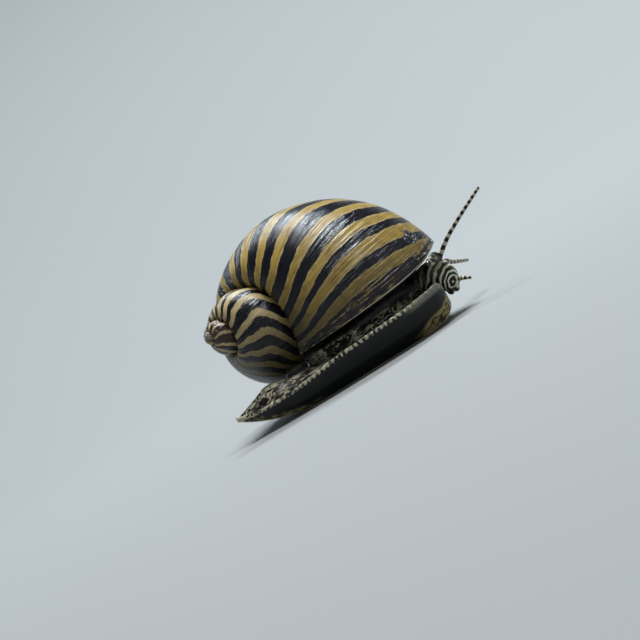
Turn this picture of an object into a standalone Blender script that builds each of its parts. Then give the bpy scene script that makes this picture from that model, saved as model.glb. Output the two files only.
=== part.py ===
"""A striped nerite snail, life size, crawling with its head out.

Lengths are in millimetres until a mesh is made, which is in metres. +X is
the way the head points, +Z is up, and the floor is at Z = 0.
"""

import math

import bmesh
import bpy
import numpy as np
from mathutils import Euler

MM = 0.001
GAP = 0.3  # between two pieces that touch on the animal

# The shell's coil: a mouth outline that turns round an axis and shrinks as it goes back.
COIL_GROWTH = 0.161  # the shell grows by this share for each radian of the coil
COIL_TURNS = 3.4
COIL_TILT = (73.9, 12.0, -61.8)  # degrees about X, Y and Z, from an upright coil
APEX = (-11.15, 0.24, 11.62)
MOUTH_RADIUS = 8.0  # from the coil's axis to the middle of the mouth
MOUTH_DROP = 15.7  # from the apex, along the axis
MOUTH_HALF_WIDTH = 5.65
MOUTH_HALF_LENGTH = 9.2
MOUTH_SQUARENESS = 1.75  # 2 is an ellipse
BASE_SQUARENESS = 2.7  # of the inner quarter under the coil
MOUTH_TILT = (19.7, -19.8, 8.7)
MOUTH_SIDES = 44
LIP_WALL = 0.75
LIP_TRIM = 0.10  # radians of the coil missing at the front, over the head
LIP_TRIM_AT = -1.55  # the place on the mouth outline, in radians
LIP_TRIM_SPREAD = 0.75
MOUTH_DEPTH = 0.62  # radians of the coil that are open
DECK_REACH = 1.53  # how many times further the inner side reaches, to meet the coil's axis
DECK_FROM = 0.75  # the height on the inner side, in half lengths, where it starts to reach
DECK_BLEND = 1.1

# The foot. Each row: along the foot, near rim across and up, far rim across and up,
# near and far edge of the sole, the sole's height, and the crest across and up.
FOOT = (
    (-12.5, -0.45, 2.72, 0.15, 2.62, -0.30, 0.00, 2.50, -0.15, 2.80),
    (-11.5, -1.10, 2.45, 1.00, 2.25, -0.70, 0.60, 1.90, -0.20, 3.10),
    (-10.0, -2.15, 2.35, 2.30, 1.90, -1.50, 1.50, 1.25, -0.40, 3.60),
    (-8.0, -3.20, 2.35, 4.00, 1.60, -2.20, 2.90, 0.60, -0.80, 4.20),
    (-5.0, -4.20, 2.50, 6.00, 1.30, -2.80, 4.80, 0.00, -0.80, 3.55),
    (-1.0, -4.90, 3.00, 7.40, 1.15, -3.30, 6.30, 0.00, 0.40, 3.58),
    (4.0, -5.10, 3.30, 8.00, 1.10, -3.50, 6.90, 0.00, 1.20, 3.60),
    (8.0, -4.90, 3.50, 7.80, 1.10, -3.30, 6.70, 0.00, 1.20, 3.50),
    (10.5, -4.30, 3.75, 7.00, 1.20, -2.70, 5.80, 0.30, 1.20, 3.00),
    (11.7, -3.40, 3.85, 5.60, 1.40, -2.00, 4.60, 0.90, 1.00, 2.60),
    (12.15, -2.30, 3.45, 3.90, 1.70, -1.40, 3.20, 1.50, 1.00, 2.45),
)
FOOT_CUTS = (-4.5, 5.0)
FOOT_STEP = 0.65  # between two sections
FOOT_CURVE_POINTS = 26
SOLE_POINTS = 8
RIM_THICKNESS = 0.55

# The flesh between the foot and the mantle. Each row: height, its middle along and
# across, and its half length and half width.
STALK = (
    (3.95, 3.35, 0.9, 6.35, 3.6),
    (4.40, 3.55, 0.8, 6.40, 3.8),
    (4.90, 4.25, 0.8, 5.80, 3.8),
    (5.30, 5.05, 0.9, 4.70, 3.7),
)
STALK_SECTIONS = 8
STALK_SIDES = 36
MANTLE_TURNS = (-0.07, -0.42)  # where the flesh in the mouth starts and ends
MANTLE_SPARE = 0.1  # of its distance from the wall over the gap, since the wall's faces are flat
MANTLE_ENDS = (0.92, 0.7)  # how far its first and last sections are shrunk, to round them

# The head's middle line. Each row: along, across, up, half width, half height and
# the lean of the section in degrees.
HEAD = (
    (10.45, 1.00, 4.70, 1.90, 1.20, 0.0),
    (11.40, 0.95, 4.75, 1.95, 1.30, 5.0),
    (12.30, 0.90, 4.75, 2.05, 1.42, 20.0),
    (12.95, 0.85, 4.32, 2.05, 1.45, 45.0),
    (13.25, 0.85, 3.65, 1.90, 1.25, 70.0),
    (13.30, 0.85, 2.95, 1.60, 1.05, 85.0),
    (13.20, 0.85, 2.45, 1.15, 0.75, 95.0),
)
HEAD_CUTS = (0.26, 0.62)  # shares of the middle line where it is cut
HEAD_CUT_CLEAR = (0.03, 0.08)  # no section comes closer to a cut than these shares
HEAD_SECTIONS = 18
HEAD_SIDES = 28
HEAD_SQUARENESS = 2.4
LIP_RADIUS = 0.42
LIP_STRETCH = (0.8, 1.2)  # of its radius, along and up
LIP_SPAN = 1.7
MOUTH_SLIT = 0.22

EYE_RADIUS = 0.33
EYES = {"right": (12.15, -2.35, 6.0), "left": (12.5, 4.05, 5.5)}
EYE_STALK_ROOTS = {"right": (12.85, -1.3, 6.1), "left": (13.0, 3.4, 5.35)}
EYE_STALK_RADIUS = (0.55, 0.42)

# The tentacles' middle lines, from root to tip.
TENTACLES = {
    "right": ((13.6, -0.65, 5.85), (15.1, -1.25, 7.1), (17.1, -1.9, 8.25), (20.5, -2.9, 9.95)),
    "left": ((14.1, 2.7, 5.05), (14.82, 4.3, 4.53), (15.77, 6.2, 4.02), (16.74, 8.6, 3.53)),
}
TENTACLE_RADIUS = (0.30, 0.16)
LIMB_SECTIONS = 9
TENTACLE_CUTS = (0.30, 0.64)
PALP = ((14.45, -0.35, 2.9), (14.95, -0.75, 2.65), (15.3, -1.0, 2.45))
PALP_RADIUS = (0.26, 0.14)

# The plate on the back of the foot: its middle, half length and half width, thickness,
# and its slope to the far side in degrees.
OPERCULUM_MIDDLE = (-4.7, 0.95, 3.75)
OPERCULUM_HALF = (1.3, 0.95)
OPERCULUM_THICKNESS = 0.5
OPERCULUM_SLOPE = 19.0
OPERCULUM_BEVEL = 0.12
OPERCULUM_SIDES = 28
OPERCULUM_FACE = 0.9  # the share of its outline that its flat faces reach
OPERCULUM_FAR_SIDE = 0.8  # how far it reaches to the far side, beside the near side

COLOURS = {
    "shell": ((0.42, 0.27, 0.09), 0.22),
    "flesh": ((0.030, 0.030, 0.032), 0.35),
    "tentacle": ((0.35, 0.31, 0.22), 0.40),
    "eye": ((0.005, 0.005, 0.006), 0.08),
    "operculum": ((0.10, 0.07, 0.05), 0.40),
}


def material(name):
    """The Principled material of one kind of surface, made once."""
    found = bpy.data.materials.get(name)
    if found:
        return found
    colour, roughness = COLOURS[name]
    made = bpy.data.materials.new(name)
    made.use_nodes = True
    shader = made.node_tree.nodes["Principled BSDF"]
    shader.inputs["Base Color"].default_value = (*colour, 1)
    shader.inputs["Roughness"].default_value = roughness
    shader.inputs["Metallic"].default_value = 0
    return made


def mesh_object(name, points, faces, collection, finish):
    """An object from points in millimetres."""
    mesh = bpy.data.meshes.new(name)
    mesh.from_pydata((np.asarray(points) * MM).tolist(), [], faces)
    made = bpy.data.objects.new(name, mesh)
    collection.objects.link(made)
    made.data.materials.append(material(finish))
    mesh.shade_smooth()
    mesh.set_sharp_from_angle(angle=math.radians(50))
    return made


def loft(name, rings, collection, finish):
    """A closed body through rings that have the same number of points."""
    rings = np.asarray(rings)
    count, sides = rings.shape[:2]
    points = list(rings.reshape(-1, 3)) + [rings[0].mean(axis=0), rings[-1].mean(axis=0)]
    faces = []
    for ring in range(count - 1):
        for side in range(sides):
            a = ring * sides + side
            b = ring * sides + (side + 1) % sides
            faces += [(a, b, b + sides), (a, b + sides, a + sides)]
    for side in range(sides):
        a, b = side, (side + 1) % sides
        faces.append((b, a, count * sides))
        faces.append(((count - 1) * sides + a, (count - 1) * sides + b, count * sides + 1))
    made = mesh_object(name, points, faces, collection, finish)
    face_out(made)
    return made


def face_out(made):
    """Turns a closed body's faces so that they point out."""
    shape = bmesh.new()
    shape.from_mesh(made.data)
    if shape.calc_volume(signed=True) < 0:
        bmesh.ops.reverse_faces(shape, faces=shape.faces)
    shape.to_mesh(made.data)
    shape.free()


def through(rows, places):
    """Rows of numbers read at places from 0 to 1 along a smooth curve through them."""
    rows = np.asarray(rows, float)
    padded = np.vstack([2 * rows[0] - rows[1], rows, 2 * rows[-1] - rows[-2]])
    found = []
    for place in places:
        along = min(max(place, 0), 1) * (len(rows) - 1)
        i = min(int(along), len(rows) - 2)
        f = along - i
        a, b, c, d = padded[i:i + 4]
        found.append(b + f * ((c - a) / 2 + f * (a - 2.5 * b + 2 * c - d / 2 + f * (1.5 * (b - c) + (d - a) / 2))))
    return np.array(found)


def place_of(rows, x):
    """The place from 0 to 1 at which a table's first column reaches x."""
    column = [row[0] for row in rows]
    return float(np.interp(x, column, np.linspace(0, 1, len(rows))))


def keep_largest(made):
    """Leaves only the largest closed surface of an object."""
    shape = bmesh.new()
    shape.from_mesh(made.data)
    bmesh.ops.triangulate(shape, faces=shape.faces)
    left = set(shape.verts)
    islands = []
    while left:
        edge = {left.pop()}
        island = set(edge)
        while edge:
            edge = {e.other_vert(v) for v in edge for e in v.link_edges} & left
            left -= edge
            island |= edge
        islands.append(island)
    islands.sort(key=len)
    for island in islands[:-1]:
        bmesh.ops.delete(shape, geom=list(island), context="VERTS")
    shape.to_mesh(made.data)
    shape.free()


def boolean(made, other, operation, use_self=False):
    """Joins or cuts a mesh with another, which is then removed."""
    step = made.modifiers.new(operation.lower(), "BOOLEAN")
    step.operation = operation
    step.object = other
    step.solver = "EXACT"
    step.use_self = use_self
    bpy.context.view_layer.update()
    graph = bpy.context.evaluated_depsgraph_get()
    done = bpy.data.meshes.new_from_object(made.evaluated_get(graph))
    made.modifiers.clear()
    old = made.data
    made.data = done
    bpy.data.meshes.remove(old)
    bpy.data.objects.remove(other)


def mouth_outline(inset=0.0, reach_in=DECK_REACH):
    """The mouth's outline round the coil's axis, with its place in radians.

    Its inner side reaches in to the axis, which makes the flat deck beside the mouth.
    """
    at = np.linspace(0, 2 * math.pi, MOUTH_SIDES, endpoint=False)
    cos, sin = np.cos(at), np.sin(at)
    power = np.where((cos < 0) & (sin < 0), BASE_SQUARENESS, MOUTH_SQUARENESS)
    reach = (np.abs(cos) ** power + np.abs(sin) ** power) ** (-1 / power)
    tilt = np.array(Euler([math.radians(a) for a in MOUTH_TILT]).to_matrix())
    deck = np.clip((DECK_FROM - reach * sin) / DECK_BLEND, 0, 1)
    deck = deck * deck * (3 - 2 * deck) * (reach_in - 1)
    across = (MOUTH_HALF_WIDTH - inset) * reach * cos * np.where(cos < 0, 1 + deck, 1)
    along = (MOUTH_HALF_LENGTH - inset) * reach * sin
    middle = np.array([MOUTH_RADIUS, 0, -MOUTH_DROP])
    return at, middle + np.outer(across, tilt[:, 0]) + np.outer(along, tilt[:, 2])


def lip_trim(at):
    """How far back the lip ends at each place of the mouth, in radians of the coil."""
    away = (at - LIP_TRIM_AT + math.pi) % (2 * math.pi) - math.pi
    return LIP_TRIM * np.exp(-((away / LIP_TRIM_SPREAD) ** 2))


def coil_ring(turn, inset=0.0, reach_in=DECK_REACH, shrink=1.0):
    """The mouth's outline carried back along the coil to an angle, which is 0 at the lip."""
    at, outline = mouth_outline(inset, reach_in)
    turn = turn - lip_trim(at) * np.exp(turn / 0.5)
    outline = outline.mean(axis=0) + (outline - outline.mean(axis=0)) * shrink
    cos, sin = np.cos(-turn), np.sin(-turn)
    size = np.exp(COIL_GROWTH * turn)
    turned = np.stack([
        size * (cos * outline[:, 0] - sin * outline[:, 1]),
        size * (sin * outline[:, 0] + cos * outline[:, 1]),
        size * outline[:, 2],
    ], axis=-1)
    return in_world(turned)


def in_world(points):
    """Points of the upright coil, laid over as the animal carries its shell."""
    tilt = np.array(Euler([math.radians(a) for a in COIL_TILT]).to_matrix())
    return points @ tilt.T + np.array(APEX)


def coil_angles():
    """Angles from the apex to the lip, closer together on the larger whorls."""
    angle, found = 0.0, [0.0]
    while angle > -2 * math.pi * COIL_TURNS:
        angle -= 0.125 + 0.012 * -angle
        found.append(angle)
    return found[::-1]


def shell(collection):
    """The coiled shell, with the mouth open under it."""
    made = loft("shell", [coil_ring(turn) for turn in coil_angles()], collection, "shell")
    inner = [coil_ring(turn, LIP_WALL, 1.0) for turn in np.linspace(0.12, -MOUTH_DEPTH, 9)]
    inner.append(coil_ring(-MOUTH_DEPTH - 0.06, LIP_WALL, 1.0, 0.75))
    boolean(made, loft("hollow", inner, collection, "shell"), "DIFFERENCE", use_self=True)
    keep_largest(made)


def foot_ring(x):
    """One section across the foot."""
    row = through(FOOT, [place_of(FOOT, x)])[0]
    near, near_up, far, far_up, sole_near, sole_far, sole, crest, crest_up = row[1:]
    sole = max(sole, 0)
    half = RIM_THICKNESS / 2
    side = near + 0.3 * (sole_near - near)
    keys = [
        (side, sole + 0.42 * (near_up - sole)),
        (near, near_up - half),
        (near + 0.25 * half, near_up + half),
        (near + 1.2 * half, near_up + 0.7 * half),
        (near + 0.45 * (crest - near), near_up + 0.45 * (crest_up - near_up)),
        (crest, crest_up),
        (crest + 0.5 * (far - crest), crest_up + 0.45 * (far_up - crest_up)),
        (far - 1.2 * half, far_up + half),
        (far, far_up),
        (far - 0.5 * half, far_up - 1.1 * half),
    ]
    curve = through(keys, np.linspace(0, 1, FOOT_CURVE_POINTS))
    sole_across = np.linspace(sole_far, sole_near, SOLE_POINTS)
    sole_line = np.stack([sole_across, np.full(SOLE_POINTS, sole)], axis=-1)
    loop = np.vstack([curve, sole_line])
    loop[:, 1] = np.maximum(loop[:, 1], sole)
    return np.column_stack([np.full(len(loop), x), loop])


def foot(collection):
    """The foot in three lengths."""
    ends = [FOOT[0][0], FOOT_CUTS[0], FOOT_CUTS[1], FOOT[-1][0]]
    for i, name in enumerate(("foot_tail", "foot_middle", "foot_front")):
        start = ends[i] + (GAP / 2 if i else 0)
        end = ends[i + 1] - (GAP / 2 if i < 2 else 0)
        count = round((end - start) / FOOT_STEP)
        loft(name, [foot_ring(x) for x in np.linspace(start, end, count)], collection, "flesh")


def oval(middle, across, up, half_across, half_up, sides, power=2.0):
    """A ring round a middle, in the plane of two directions; a power over 2 squares it."""
    at = np.linspace(0, 2 * math.pi, sides, endpoint=False)
    reach = (np.abs(np.cos(at)) ** power + np.abs(np.sin(at)) ** power) ** (-1 / power)
    return (np.asarray(middle) + np.outer(half_across * reach * np.cos(at), across)
            + np.outer(half_up * reach * np.sin(at), up))


def stalk(collection):
    """The flesh that goes up into the mouth."""
    rings = []
    for up, along, across, half_along, half_across in through(STALK, np.linspace(0, 1, STALK_SECTIONS)):
        rings.append(oval((along, across, up), (1, 0, 0), (0, 1, 0), half_along, half_across, STALK_SIDES))
    loft("body", rings, collection, "flesh")


def mantle(collection):
    """The flesh that fills the mouth, inside the lip."""
    start, end = MANTLE_TURNS
    inset = LIP_WALL + GAP + MANTLE_SPARE
    rings = [coil_ring(start, inset, 1.0, MANTLE_ENDS[0])]
    rings += [coil_ring(turn, inset, 1.0) for turn in np.linspace(start - 0.03, end, 5)]
    rings.append(coil_ring(end - 0.06, inset, 1.0, MANTLE_ENDS[1]))
    loft("mantle", rings, collection, "flesh")


def head_ring(place, ahead=0.0):
    """A section of the head, moved ahead of its place by a length."""
    x, y, z, half_width, half_height, lean = through(HEAD, [place])[0]
    lean = math.radians(lean)
    middle = (x + ahead * math.cos(lean), y, z - ahead * math.sin(lean))
    up = (math.sin(lean), 0, math.cos(lean))
    return oval(middle, (0, 1, 0), up, half_width, half_height, HEAD_SIDES, HEAD_SQUARENESS)


def head(collection):
    """Neck, head and snout along one middle line."""
    cuts = [0, *HEAD_CUTS, 1]
    clear = [0, *HEAD_CUT_CLEAR, 0]
    for i, name in enumerate(("neck", "head", "snout")):
        start, end = cuts[i], cuts[i + 1]
        count = round((end - start) * HEAD_SECTIONS)
        rings = [head_ring(start, GAP / 2)] if i else []
        rings += [head_ring(place) for place in np.linspace(start, end, count)
                  if place - start >= clear[i] and end - place >= clear[i + 1]]
        rings += [head_ring(end, -GAP / 2)] if i < 2 else []
        made = loft(name, rings, collection, "flesh")
    lips(made, collection)


def ball(name, middle, radius, collection, finish, stretch=(1, 1, 1), segments=16):
    """A round or stretched ball."""
    shape = bmesh.new()
    bmesh.ops.create_uvsphere(shape, u_segments=segments, v_segments=segments * 5 // 8, radius=radius * MM)
    for vertex in shape.verts:
        for axis in range(3):
            vertex.co[axis] = vertex.co[axis] * stretch[axis] + middle[axis] * MM
    mesh = bpy.data.meshes.new(name)
    shape.to_mesh(mesh)
    shape.free()
    made = bpy.data.objects.new(name, mesh)
    collection.objects.link(made)
    mesh.materials.append(material(finish))
    mesh.shade_smooth()
    return made


def lips(snout, collection):
    """Two lips round the line of the mouth, under the snout's end."""
    x, y, z = HEAD[-1][:3]
    for side in (-1, 1):
        middle = (x + side * 0.5 * (LIP_RADIUS + MOUTH_SLIT), y, z - 0.05)
        stretch = (LIP_STRETCH[0], LIP_SPAN / LIP_RADIUS / 2, LIP_STRETCH[1])
        lip = ball("lip", middle, LIP_RADIUS, collection, "flesh", stretch)
        boolean(snout, lip, "UNION")
    keep_largest(snout)


def limb(name, line, radii, collection, finish, span=(0.0, 1.0), sides=10):
    """A tapered round limb along part of a middle line."""
    places = np.linspace(*span, LIMB_SECTIONS)
    middles = through(line, places)
    rings = []
    for i, place in enumerate(places):
        ahead = middles[min(i + 1, LIMB_SECTIONS - 1)] - middles[max(i - 1, 0)]
        ahead /= np.linalg.norm(ahead)
        across = np.cross(ahead, (0, 0, 1))
        across /= np.linalg.norm(across)
        radius = radii[0] + (radii[1] - radii[0]) * place
        rings.append(oval(middles[i], across, np.cross(across, ahead), radius, radius, sides))
    return loft(name, rings, collection, finish)


def tentacles(collection):
    """Each tentacle in three lengths."""
    for side, line in TENTACLES.items():
        length = sum(math.dist(a, b) for a, b in zip(line, line[1:]))
        step = GAP / 2 / length
        cuts = [0, *TENTACLE_CUTS, 1]
        for i, name in enumerate(("base", "mid", "tip")):
            span = (cuts[i] + (step if i else 0), cuts[i + 1] - (step if i < 2 else 0))
            limb(f"tentacle_{side}_{name}", line, TENTACLE_RADIUS, collection, "tentacle", span)


def eyes(collection):
    """The eyes on their short stalks, and the palp beside the mouth."""
    for side, place in EYES.items():
        root, end = np.array(EYE_STALK_ROOTS[side]), np.array(place)
        away = (end - root) / np.linalg.norm(end - root)
        stop = end - away * (EYE_RADIUS + GAP)
        limb(f"eye_stalk_{side}", (root, (root + stop) / 2, stop), EYE_STALK_RADIUS, collection, "flesh")
        ball(f"eye_{side}", place, EYE_RADIUS, collection, "eye")
    limb("palp", PALP, PALP_RADIUS, collection, "tentacle")


def operculum(collection):
    """The half-round plate on the back of the foot, behind the body."""
    at = np.linspace(0, 2 * math.pi, OPERCULUM_SIDES, endpoint=False)
    half_long, half_wide = OPERCULUM_HALF
    half_thick = OPERCULUM_THICKNESS / 2
    tilt = np.array(Euler([-math.radians(OPERCULUM_SLOPE), 0, 0]).to_matrix())
    flat = half_thick - OPERCULUM_BEVEL
    rings = []
    for up, shrink in ((-half_thick, OPERCULUM_FACE), (-flat, 1), (flat, 1), (half_thick, OPERCULUM_FACE)):
        x = half_long * shrink * np.cos(at)
        y = half_wide * shrink * np.sin(at) * np.where(np.sin(at) > 0, OPERCULUM_FAR_SIDE, 1)
        ring = np.stack([x, y, np.full(OPERCULUM_SIDES, up)], axis=-1)
        rings.append(ring @ tilt.T + np.array(OPERCULUM_MIDDLE))
    loft("operculum", rings, collection, "operculum")


def main():
    for old in list(bpy.data.objects):
        bpy.data.objects.remove(old)
    collection = bpy.data.collections.new("nerite_snail")
    bpy.context.scene.collection.children.link(collection)
    shell(collection)
    foot(collection)
    stalk(collection)
    mantle(collection)
    head(collection)
    tentacles(collection)
    eyes(collection)
    operculum(collection)


main()
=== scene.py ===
"""A life-size model of a striped nerite snail, crawling with its head out.

Lengths are in millimetres until a mesh is made, which is in metres. +X is the way
the head points, +Y is the animal's left, +Z is up, and the floor is at Z = 0.
"""

import math
from functools import partialmethod

import bpy
import numpy as np
from mathutils import Euler, Matrix, Vector


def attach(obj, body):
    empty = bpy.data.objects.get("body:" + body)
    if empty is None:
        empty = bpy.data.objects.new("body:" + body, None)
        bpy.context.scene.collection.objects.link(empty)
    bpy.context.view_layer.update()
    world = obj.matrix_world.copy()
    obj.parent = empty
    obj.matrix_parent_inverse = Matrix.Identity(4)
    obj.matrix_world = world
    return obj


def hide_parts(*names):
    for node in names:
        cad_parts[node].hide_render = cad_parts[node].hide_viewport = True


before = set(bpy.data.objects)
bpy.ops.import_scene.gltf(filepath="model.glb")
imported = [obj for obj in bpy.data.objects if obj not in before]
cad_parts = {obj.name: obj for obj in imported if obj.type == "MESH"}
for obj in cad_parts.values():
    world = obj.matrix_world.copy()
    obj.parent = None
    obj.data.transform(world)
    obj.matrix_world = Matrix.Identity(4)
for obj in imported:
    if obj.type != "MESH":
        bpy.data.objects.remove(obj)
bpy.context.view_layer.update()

bl_info = {
    "name": "Nerite snail",
    "version": (1, 0, 0),
    "blender": (4, 5, 0),
    "location": "3D View > Sidebar > Snail",
    "description": "Builds a striped nerite snail: coiled shell, skin, eyes and operculum",
    "category": "Add Mesh",
}

MM = 0.001

# The shell's coil: a mouth outline that turns round an axis and shrinks as it goes back.
COIL_GROWTH = 0.161
COIL_TURNS = 3.4
COIL_TILT = (73.9, 12.0, -61.8)
APEX = (-11.15, 0.24, 11.62)
MOUTH_RADIUS = 8.0
MOUTH_DROP = 15.7
MOUTH_HALF_WIDTH = 5.65
MOUTH_HALF_LENGTH = 9.2
MOUTH_SQUARENESS = 1.75
BASE_SQUARENESS = 2.7
MOUTH_TILT = (19.7, -19.8, 8.7)
LIP_TRIM = 0.10
LIP_TRIM_AT = -1.55
LIP_TRIM_SPREAD = 0.75
DECK_REACH = 1.53
DECK_FROM = 0.75
DECK_BLEND = 1.1
OUTER_RADIUS = MOUTH_RADIUS + MOUTH_HALF_WIDTH
MOUTH_DEPTH = 0.55
LIP_BULGE = 0.016  # how far the rounded lip stands out, in radians
LIP_SHARE = 0.6  # the share of the wall's thickness that the lip has
TOP_ANGLE = 3.0  # the angle round the mouth where its low side ends

# The shell's dark bands, from the lip back: where each starts and ends, in radians.
DARK_BANDS = (
    (0.0, 0.115), (0.215, 0.30), (0.42, 0.50), (0.61, 0.75), (0.86, 1.02), (1.15, 1.31),
    (1.45, 1.64), (1.80, 1.97), (2.13, 2.35), (2.52, 2.72), (2.90, 3.10), (3.28, 3.48),
    (3.67, 3.87), (4.06, 4.27), (4.46, 4.67), (4.84, 5.03), (5.20, 5.36), (5.50, 5.68),
    (5.83, 6.07), (6.23, 6.47), (6.66, 7.00), (7.22, 7.43), (7.65, 7.80), (8.00, 8.18),
    (8.31, 8.48), (8.68, 8.92), (9.12, 9.38), (9.60, 9.88), (10.1, 10.4), (10.6, 10.9),
    (11.1, 11.4), (11.6, 11.95), (12.1, 12.7), (12.82, 13.3), (13.42, 13.9), (14.05, 14.5),
    (14.7, 15.2), (15.4, 15.9), (16.1, 16.7), (16.9, 17.6), (17.9, 18.6), (18.9, 19.7), (20.0, 22.0),
)

# How far back the bands lean at seventeen places round the mouth, in radians, just
# behind the lip, on the rest of the last whorl, and on the whorl before it.
LEANS = (
    (0, 0, -0.02, -0.06, -0.09, -0.07, -0.045, -0.01, 0.015,
     0.005, -0.03, -0.075, -0.04, 0.05, 0.05, 0.02, 0),
    (0, -0.08, -0.20, -0.30, -0.33, -0.26, -0.17, -0.08, -0.02,
     0, -0.01, 0, 0.12, 0.30, 0.28, 0.12, 0),
    (0, -0.10, -0.25, -0.40, -0.45, -0.45, -0.40, -0.24, -0.10,
     -0.01, 0, -0.02, 0.08, 0.25, 0.25, 0.10, 0),
)
# On the whorl before the last the bands have a crest and a dip. Each: how far back it
# pushes them, in radians, its place round the mouth and its width.
CHEVRON = ((0.08, 0.10, 0.30), (-0.19, -0.80, 0.42))
# The worn spot is real wear; the pale flecks in it are painted glints.
SCAR = (0.235, -0.85)  # a worn spot: how far back from the lip, and its place round the mouth
FINE_LINES = 0.020  # the heights of the fine and the coarse growth lines
COARSE_LINES = 0.045

# The foot. Each row: along the foot, near rim across and up, far rim across and up,
# near and far edge of the sole, the sole's height, and the crest across and up.
FOOT = (
    (-12.5, -0.45, 2.72, 0.15, 2.62, -0.30, 0.00, 2.50, -0.15, 2.80),
    (-11.5, -1.10, 2.45, 1.00, 2.25, -0.70, 0.60, 1.90, -0.20, 3.10),
    (-10.0, -2.15, 2.35, 2.30, 1.90, -1.50, 1.50, 1.25, -0.40, 3.60),
    (-8.0, -3.20, 2.35, 4.00, 1.60, -2.20, 2.90, 0.60, -0.80, 4.20),
    (-5.0, -4.20, 2.50, 6.00, 1.30, -2.80, 4.80, 0.00, -0.80, 3.55),
    (-1.0, -4.90, 3.00, 7.40, 1.15, -3.30, 6.30, 0.00, 0.40, 3.58),
    (4.0, -5.10, 3.30, 8.00, 1.10, -3.50, 6.90, 0.00, 1.20, 3.60),
    (8.0, -4.90, 3.50, 7.80, 1.10, -3.30, 6.70, 0.00, 1.20, 3.50),
    (10.5, -4.30, 3.75, 7.00, 1.20, -2.70, 5.80, 0.30, 1.20, 3.00),
    (11.7, -3.40, 3.85, 5.60, 1.40, -2.00, 4.60, 0.90, 1.00, 2.60),
    (12.15, -2.30, 3.45, 3.90, 1.70, -1.40, 3.20, 1.50, 1.00, 2.45),
)
RIM_THICKNESS = 0.55
TAIL_CAP = -12.33  # behind this the foot's whole end counts as its rim

# The flesh that goes up into the mouth. Each row: height, its middle along and across,
# and its half length and half width.
STALK = (
    (2.20, 3.35, 0.9, 6.00, 3.3),
    (3.95, 3.35, 0.9, 6.35, 3.6),
    (4.40, 3.55, 0.8, 6.40, 3.8),
    (4.90, 4.25, 0.8, 5.80, 3.8),
    (5.30, 5.05, 0.9, 4.70, 3.7),
    (6.60, 4.90, 0.9, 4.00, 3.1),
)
# Behind it, a lobe in the mouth's corner that reaches back to the operculum.
STALK_LOBE = ((1.5, -0.2, 4.6), (-0.8, -0.1, 4.75), (-3.45, 0.2, 3.95))
STALK_LOBE_RADIUS = (1.0, 0.85)
MANTLE_TURNS = (-0.07, -0.42)
MANTLE_INSET = 1.15

# The head's middle line. Each row: along, across, up, half width, half height and
# the lean of the section in degrees.
HEAD = (
    (8.40, 1.00, 4.55, 1.85, 1.15, 0.0),
    (10.45, 1.00, 4.70, 1.90, 1.20, 0.0),
    (11.40, 0.95, 4.75, 1.95, 1.30, 5.0),
    (12.30, 0.90, 4.75, 2.05, 1.42, 20.0),
    (12.95, 0.85, 4.32, 2.05, 1.45, 45.0),
    (13.25, 0.85, 3.65, 1.90, 1.25, 70.0),
    (13.30, 0.85, 2.95, 1.60, 1.05, 85.0),
    (13.20, 0.85, 2.45, 1.15, 0.75, 95.0),
)
HEAD_SQUARENESS = 2.4
LIP_RADIUS = 0.42
LIP_SPAN = 1.7
MOUTH_SLIT = 0.22

# The head's cream rings run round this place, seen from the side, at these distances.
RING_MIDDLE = (13.42, 3.16)
RING_STRETCH = (0.53, 0.85, 1.25)
RING_DISTANCES = (0.0, 0.53, 0.88, 1.30, 1.86, 2.53, 3.26, 4.0, 4.8)

# Pale dots on each side of the snout's end: along and up, and their size.
SNOUT_DOTS = ((14.03, 3.32), (13.79, 2.78), (13.66, 2.43))
SNOUT_DOT_RADIUS = 0.17

# Heights of what stands out of the skin, and the spacing of the rim's beads in the mesh
# and in the colour.
BEAD_HEIGHT = 0.055
BEAD_SPREAD = 0.30
BEAD_SPACING = 0.75
BEAD_DOT_SPACING = 0.58
WART_HEIGHT = 0.030
RIDGE_HEIGHT = 0.035
FOLD_HEIGHT = 0.05
PORE_HEIGHT = 0.012
FEELER_RING_HEIGHT = 0.012

EYES = {"right": (12.15, -2.35, 6.0), "left": (12.5, 4.05, 5.5)}
EYE_STALK_ROOTS = {"right": (12.85, -1.3, 6.1), "left": (13.0, 3.4, 5.35)}
EYE_STALK_RADIUS = (0.58, 0.44)

# The tentacles' middle lines, from root to tip.
TENTACLES = {
    "right": ((13.6, -0.65, 5.85), (15.1, -1.25, 7.1), (17.1, -1.9, 8.25), (20.5, -2.9, 9.95)),
    "left": ((14.1, 2.7, 5.05), (14.82, 4.3, 4.53), (15.77, 6.2, 4.02), (16.74, 8.6, 3.53)),
}
TENTACLE_RADIUS = (0.30, 0.16)
TENTACLE_ROOTS = {"right": (12.6, -0.1, 4.7), "left": (12.9, 1.6, 4.5)}
PALP = ((13.6, 0.2, 3.2), (14.45, -0.35, 2.9), (14.95, -0.75, 2.65), (15.3, -1.0, 2.45))
PALP_RADIUS = (0.30, 0.14)

# The plate on the back of the foot: its middle, half length and half width, thickness,
# and its slope to the far side in degrees.
OPERCULUM_MIDDLE = (-4.7, 0.95, 3.75)
OPERCULUM_HALF = (1.3, 0.95)
OPERCULUM_THICKNESS = 0.5
OPERCULUM_SLOPE = 19.0
OPERCULUM_RIDGE = 0.02
OPERCULUM_RIDGE_SPACING = 0.33

FLESH_NODES = (
    "foot_tail", "foot_middle", "foot_front", "body", "mantle", "neck", "head", "snout", "palp",
    "eye_stalk_right", "eye_stalk_left", "tentacle_right_base", "tentacle_right_mid",
    "tentacle_right_tip", "tentacle_left_base", "tentacle_left_mid", "tentacle_left_tip",
)

# The camera looks level across the animal, from its right, and is turned on its side.
CAMERA_TARGET = (0.0, 0.0, 6.9)
CAMERA_LIFT = 3.0
CAMERA_ROLL = 32.0

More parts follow.
